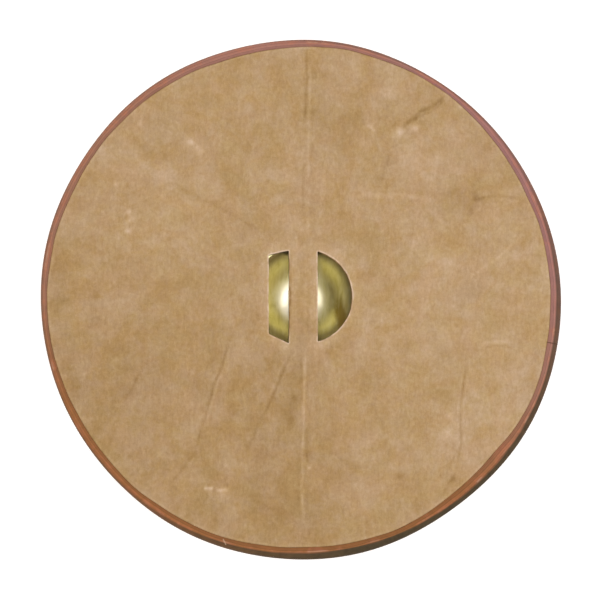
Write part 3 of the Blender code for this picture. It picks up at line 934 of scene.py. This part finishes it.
def brassFinish(name):
    finish = Finish(name)
    place = finish.place()
    x, y, z = (axis / mm for axis in finish.axes(place))
    inner = finish.attribute("inner")
    noises = finish.noises(place, boss["noises"])
    cloudy, smears = noises["cloudy"], noises["smears"]
    colour = finish.ramp(finish.weigh(noises, boss["bright"]) + 0.5, boss["brass"])

    # The middle is paler: painted highlight, partly wear. Painted shade inside: along the dome's
    # foot and lower end, and in the corners beside the grip's upper end; and one darker brown-olive
    # patch.
    radius = (x * x + y * y).math("SQRT")
    colour = finish.mix(radius.step(*boss["wearAndHighlightWithin"]) * inner, colour, boss["wearAndHighlight"])
    # Painted shade along the dome's foot, reaching further down at the lower end and stronger to
    # the upper right.
    lower = y.step(*boss["lowerEnd"])
    foot = (z + lower + cloudy * 6).step(*boss["footHeight"]) * radius.step(*boss["footRadius"])
    side = (x + y * 1.2 + cloudy * 20).step(*boss["footSide"])
    footShade = finish.mix(z.step(*boss["footShadeHeight"]), boss["footShadeLow"], boss["footShadeHigh"])
    colour = finish.mix(foot * side * inner, colour, footShade)
    # Painted shade in the corners beside the grip's upper end.
    corner = (fromMiddle(x, y, boss["corner"]) + smears * 0.15).step(*boss["cornerEdge"])
    colour = finish.mix(corner * inner * boss["cornerShare"], colour, boss["cornerTint"])
    # A darker brown-olive patch on the right of the hollow.
    brownPatch = fromMiddle(x, y, boss["brownPatch"]) + smears * 0.4 + cloudy * 0.3
    brownPatch = brownPatch.step(*boss["brownPatchEdge"])
    colour = finish.mix(brownPatch * inner * boss["brownPatchShare"], colour, boss["brownPatchTint"])
    return finish.close({
        "Base Color": colour,
        "Metallic": 0.75,
        "Roughness": finish.weigh(noises, boss["gloss"]) + 0.31,
        "Normal": finish.bump(finish.weigh(noises, boss["relief"]), boss["reliefHeight"]),
    })


def fromMiddle(x, y, patch):
    # Distance from the patch's middle, 1 at its edge.
    middleX, middleY, wide, tall = patch
    offX, offY = (x - middleX) / wide, (y - middleY) / tall
    return (offX * offX + offY * offY).math("SQRT")


# Wooden board

board = {
    "radius": 374.8, "edgeSteps": 240,
    "edgeRound": 3.0, "roundSteps": 4,
    "holeRound": 4.0, "holeSteps": 5,    # the openings' front edges are eased for the hand
    "plank": 160.0,
    "joints": (-1.5, -0.5, 0.5, 1.5),    # in planks from the middle
    "jointDepth": 1.2,
    "jointWidth": 1.3,
    "noises": {
        "rings": ((25.6, 1.76, 25.6), 2, 0.5, 0.4), "fibre": ((520, 14, 520), 3, 0.65),
        "pores": ((900, 40, 900), 1, 0.5), "hue": ((3, 1, 3), 1),
    },
    "apart": (3.7, 1.3, 7.1),    # metres of noise from one plank to the next
    "ringCount": 22,
    "bright": {"rings": 0.16, "fibre": 0.16, "hue": 0.2},
    "relief": {"rings": 0.4, "fibre": 0.5},
    "reliefHeight": 0.12,
    "wood": [(0.0, (132, 92, 52)), (0.5, (182, 140, 92)), (1.0, (214, 178, 128))],
    "pore": (104, 72, 42), "poreStep": (0.35, 0.7), "poreShare": 0.5,
    # Painted shade on the walls of the left opening:
    "wallShadeTint": (48, 34, 24), "wallShade": 0.9,    # inside the left opening
    "wallShadeStep": (-0.01, 0.01),    # metres from the middle
}


def addLoop(shape, outline, height):
    row = [shape.verts.new((x * mm, y * mm, height * mm)) for x, y in outline]
    return [shape.edges.new(pair) for pair in zip(row, row[1:] + row[:1])]


def makeBoard():
    top, bottom = boardHigh.z / mm, boardLow.z / mm
    shape = bmesh.new()
    tops, bottoms = [], []
    edge = np.array(arcPoints(0, 0, board["radius"], 0, 360, board["edgeSteps"])[:-1])
    rounding, easing, steps = board["edgeRound"], board["holeRound"], board["roundSteps"]
    edgeWall = arcPoints(-rounding, top - rounding, rounding, 90, 0, steps)
    edgeWall += arcPoints(-rounding, bottom + rounding, rounding, 0, -90, steps)
    holeWall = [(0, top)]
    holeWall += arcPoints(easing, bottom + easing, easing, 180, 270, board["holeSteps"])
    walls = [(edge, edgeWall), (slotOutline(), holeWall), (halfRoundOutline(), holeWall)]
    for outline, rows in walls:
        loops = [addLoop(shape, grown(outline, out), height) for out, height in rows]
        for upper, lower in zip(loops, loops[1:]):
            wall = bmesh.ops.bridge_loops(shape, edges=upper + lower)["faces"]
            for face in wall:
                face.material_index = 0 if outline is edge else 1
        tops += loops[0]
        bottoms += loops[-1]
    bmesh.ops.triangle_fill(shape, use_beauty=True, use_dissolve=False, edges=tops)
    front = bmesh.ops.triangle_fill(shape, use_beauty=True, use_dissolve=False, edges=bottoms)

    # Shallow grooves along the planks' joints on the front.
    faces = only(front["geom"], bmesh.types.BMFace)
    for joint in board["joints"]:
        for side in (-1, 0, 1):
            place = joint * board["plank"] + side * board["jointWidth"]
            edges = {item for face in faces for item in face.edges}
            verts = {item for face in faces for item in face.verts}
            parts = bmesh.ops.bisect_plane(
                shape, geom=faces + list(edges) + list(verts), dist=0.0001 * mm,
                plane_co=(place * mm, 0, 0), plane_no=(1, 0, 0),
            )
            faces = only(parts["geom"], bmesh.types.BMFace)
            if side == 0:
                groove = only(parts["geom_cut"], bmesh.types.BMVert)
        bmesh.ops.translate(shape, verts=groove, vec=(0, 0, board["jointDepth"] * mm))
    bmesh.ops.recalc_face_normals(shape, faces=shape.faces)
    piece = objectFrom(shape, "woodenBoard")
    piece.data.materials.append(boardFinish("boardWood", 0.0))
    piece.data.materials.append(boardFinish("openingWall", board["wallShade"]))
    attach(piece, "root")
    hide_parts("wooden_board")


def boardFinish(name, wallShade):
    finish = Finish(name)
    place = finish.place()
    x = finish.axes(place)[0]
    plank = (x / (board["plank"] * mm) + 0.5).math("FLOOR")
    apart = {index: plank * step for index, step in enumerate(board["apart"])}
    shift = finish.node("CombineXYZ", {}, apart)
    own = finish.node("VectorMath", {"operation": "ADD"}, {0: place, 1: shift})
    noises = finish.noises(own, board["noises"])
    noises["rings"] = (noises["rings"] * board["ringCount"]).math("SINE")
    colour = finish.ramp(finish.weigh(noises, board["bright"]) + 0.5, board["wood"])
    pores = noises["pores"].step(*board["poreStep"]) * board["poreShare"]
    colour = finish.mix(pores, colour, board["pore"])
    # Painted shade on the opening walls left of the middle.
    colour = finish.mix(x.step(*board["wallShadeStep"], wallShade, 0.0), colour, board["wallShadeTint"])
    return finish.close({
        "Base Color": colour,
        "Roughness": noises["fibre"] * 0.08 + 0.62,
        "Specular IOR Level": 0.35,
        "Normal": finish.bump(finish.weigh(noises, board["relief"]), board["reliefHeight"]),
    })


# Floor and light

stage = {
    "sky": 0.40,
    "floorHalf": 30,    # metres
    "floorDrop": 0.2,
    "floorPaper": 0.9,
    "floorGlow": 0.5,
    # Lamps: lean along X and Y, distance in metres, half widths as seen from the shield,
    # brightness, and whether dull surfaces see them.
    "lamps": {
        "overhead": ((0, 0), 1.6, (62, 62), 0.73, True),
        "overBrass": ((0, 0), 1.5, (64, 64), 0.5, False),
        "leftStrip": ((-40, -6), 2.2, (24, 4.6), 7.4, False),
        "rightStrip": ((37.5, -9), 2.2, (24, 4.2), 4.0, False),
    },
}


def makeLamp(name, leans, distance, halves, glow, onDull):
    leanX, leanY = (math.tan(math.radians(lean)) for lean in leans)
    place = Vector((leanX, leanY, 1)).normalized() * distance
    long, wide = (2 * distance * math.tan(math.radians(half)) for half in halves)
    lamp = bpy.data.lights.new(name, "AREA")
    lamp.shape = "ELLIPSE"
    lamp.size, lamp.size_y = long, wide
    lamp.energy = glow * math.pi ** 2 * long * wide / 4
    light = bpy.data.objects.new(name, lamp)
    light.location = place
    light.rotation_mode = "QUATERNION"
    light.rotation_quaternion = (-place).to_track_quat("-Z", "Y")
    light.visible_camera = False
    light.visible_diffuse = onDull
    bpy.context.scene.collection.objects.link(light)


def makeStage():
    scene = bpy.context.scene
    scene.view_settings.view_transform = "Standard"
    shape = bmesh.new()
    bmesh.ops.create_grid(shape, x_segments=1, y_segments=1, size=stage["floorHalf"])
    floor = objectFrom(shape, "floor")
    white = (1, 1, 1, 1)
    floor.data.materials.append(Finish("floorPaper").close({
        "Base Color": (*[stage["floorPaper"]] * 3, 1), "Roughness": 0.9,
        "Emission Color": white, "Emission Strength": stage["floorGlow"],
    }))
    floor.location.z = -stage["floorDrop"] * mm
    world = bpy.data.worlds.new("softStudio")
    world.use_nodes = True
    shade = world.node_tree.nodes["Background"]
    shade.inputs["Color"].default_value = white
    shade.inputs["Strength"].default_value = stage["sky"]
    scene.world = world
    for name, settings in stage["lamps"].items():
        makeLamp(name, *settings)


makeCamera()
makeStage()
print("camera, floor and light set")
makeBoard()
print("board made")
makeBoss()
makeNails()
print("boss and nails made")
makeSuede()
print("suede made")
makeBinding()
print("binding made")
